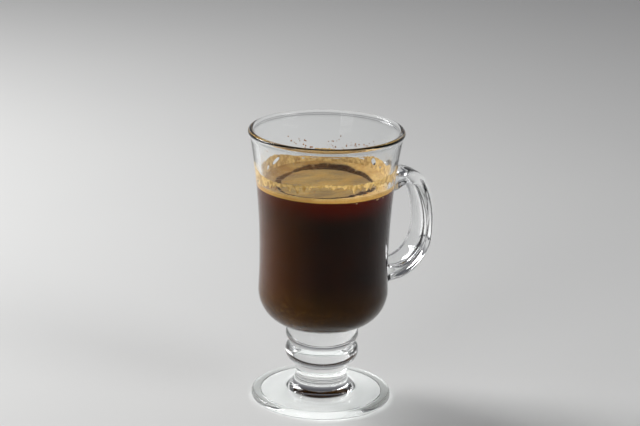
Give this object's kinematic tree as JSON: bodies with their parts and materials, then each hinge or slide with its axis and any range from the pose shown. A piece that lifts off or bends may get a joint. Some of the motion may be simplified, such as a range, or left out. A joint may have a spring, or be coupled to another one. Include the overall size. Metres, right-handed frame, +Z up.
{
  "type": "turkish coffee in a footed glass mug",
  "caption": "Dark coffee under a thin tan foam, in a clear footed glass mug with a ringed stem and a C-shaped handle.",
  "frame": {"origin": "centre of the ring under the foot, on the surface that the mug stands on", "axes": "+Z up the mug's axis, +X from the axis towards the handle"},
  "size_m": [0.0995, 0.079, 0.143],
  "materials": {
    "glass": "clear pressed glass, fire polished",
    "coffee": "dark brown liquid",
    "foam": "fine tan foam"
  },
  "bodies": {
    "root": {"glass_mug": "glass", "coffee": "coffee", "foam": "foam"}
  },
  "joints": []
}
